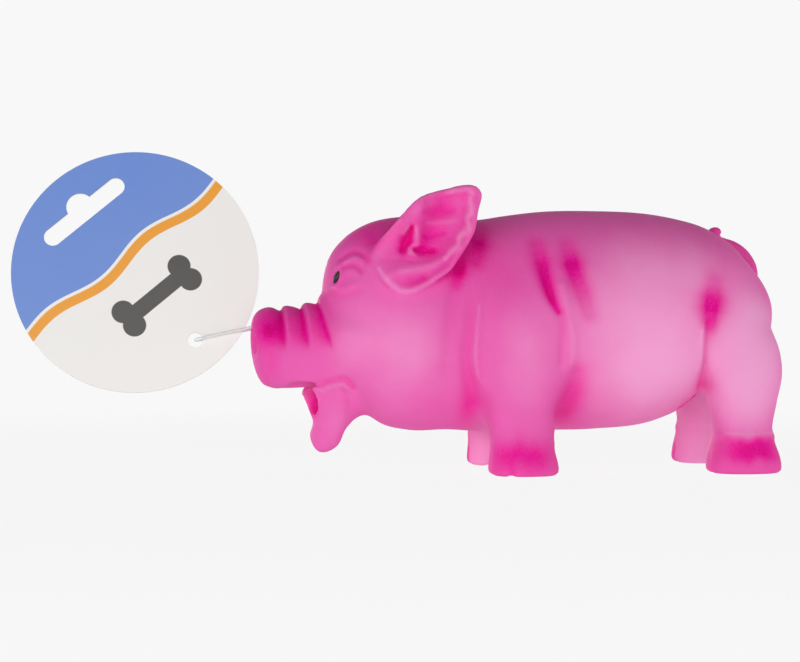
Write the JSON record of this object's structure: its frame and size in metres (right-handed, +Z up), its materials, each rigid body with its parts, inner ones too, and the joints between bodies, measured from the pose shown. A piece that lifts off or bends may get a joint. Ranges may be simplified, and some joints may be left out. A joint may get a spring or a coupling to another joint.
{
  "type": "pig dog toy",
  "caption": "Hollow latex pig for a dog to chew and squeeze, with fibre filling, a bellows voice, flexing head, jaw, ears and tail, and a round swing tag on a nylon loop.",
  "frame": {"origin": "on the floor, under the middle of the toy and its tag", "axes": "+Z up, the pig looks along -X, its left side faces -Y"},
  "size_m": [0.235, 0.0624, 0.0979],
  "materials": {
    "latex": "matte pink latex",
    "eye_paint": "gloss dark paint",
    "fibre": "loose white polyester fibre",
    "bellows_plastic": "soft grey plastic",
    "voice_plastic": "moulded cream plastic",
    "brass": "bare sheet brass",
    "nylon": "translucent nylon",
    "card": "coated card"
  },
  "bodies": {
    "torso": {"body_skin": "latex", "front_left_leg": "latex", "front_right_leg": "latex", "rear_left_leg": "latex", "rear_right_leg": "latex", "body_filling": "fibre", "voice_bellows": "bellows_plastic", "voice_base": "voice_plastic", "reed_tube": "voice_plastic"},
    "head": {"head_skin": "latex", "snout": "latex", "head_filling": "fibre", "left_eye": "eye_paint", "right_eye": "eye_paint", "loop_anchor": "nylon"},
    "jaw": {"lower_jaw": "latex"},
    "left_ear_flap": {"left_ear": "latex"},
    "right_ear_flap": {"right_ear": "latex"},
    "tail_curl": {"tail": "latex"},
    "press": {"voice_press_plate": "voice_plastic"},
    "reed": {"reed_tongue": "brass"},
    "loop": {"tag_loop": "nylon"},
    "tag": {"hang_tag": "card"}
  },
  "joints": [
    {"name": "neck_bend", "type": "hinge", "parent": "torso", "child": "head", "pos_m": [0.05747, 0, 0.0435], "axis": [0, 1, 0], "range_deg": [-5, 7], "stiffness_Nm_per_rad": 2},
    {"name": "jaw_flex", "type": "hinge", "parent": "head", "child": "jaw", "pos_m": [-0.01693, 0, 0.0248], "axis": [0, 1, 0], "range_deg": [-8, 8], "stiffness_Nm_per_rad": 0.03},
    {"name": "left_ear_fold", "type": "hinge", "parent": "head", "child": "left_ear_flap", "pos_m": [-0.00303, -0.02433, 0.0565], "axis": [0.8, 0, -0.6], "range_deg": [-5, 30], "stiffness_Nm_per_rad": 0.03},
    {"name": "right_ear_fold", "type": "hinge", "parent": "head", "child": "right_ear_flap", "pos_m": [-0.00303, 0.02433, 0.0565], "axis": [-0.8, 0, 0.6], "range_deg": [-5, 30], "stiffness_Nm_per_rad": 0.03},
    {"name": "tail_lift", "type": "hinge", "parent": "torso", "child": "tail_curl", "pos_m": [0.11066, 0, 0.06097], "axis": [0, 1, 0], "range_deg": [0, 25], "stiffness_Nm_per_rad": 0.004},
    {"name": "voice_press", "type": "slide", "parent": "torso", "child": "press", "axis": [0, 1, 0], "range_m": [0, 0.009], "stiffness_N_per_m": 150, "deforming": ["voice_bellows"]},
    {"name": "reed_beat", "type": "hinge", "parent": "torso", "child": "reed", "pos_m": [0.06447, 0.0101, 0.05075], "axis": [1, 0, 0], "range_deg": [-3, 3], "stiffness_Nm_per_rad": 0.0004},
    {"name": "loop_sway", "type": "hinge", "parent": "head", "child": "loop", "pos_m": [-0.04473, 0, 0.044], "axis": [0, 0, 1], "range_deg": [-35, 35], "stiffness_Nm_per_rad": 0.002},
    {"name": "tag_turn", "type": "hinge", "parent": "loop", "child": "tag", "pos_m": [-0.06224, 0, 0.04028], "axis": [-0.0432, -0.9781, 0.2034], "range_deg": [0, 45]}
  ]
}
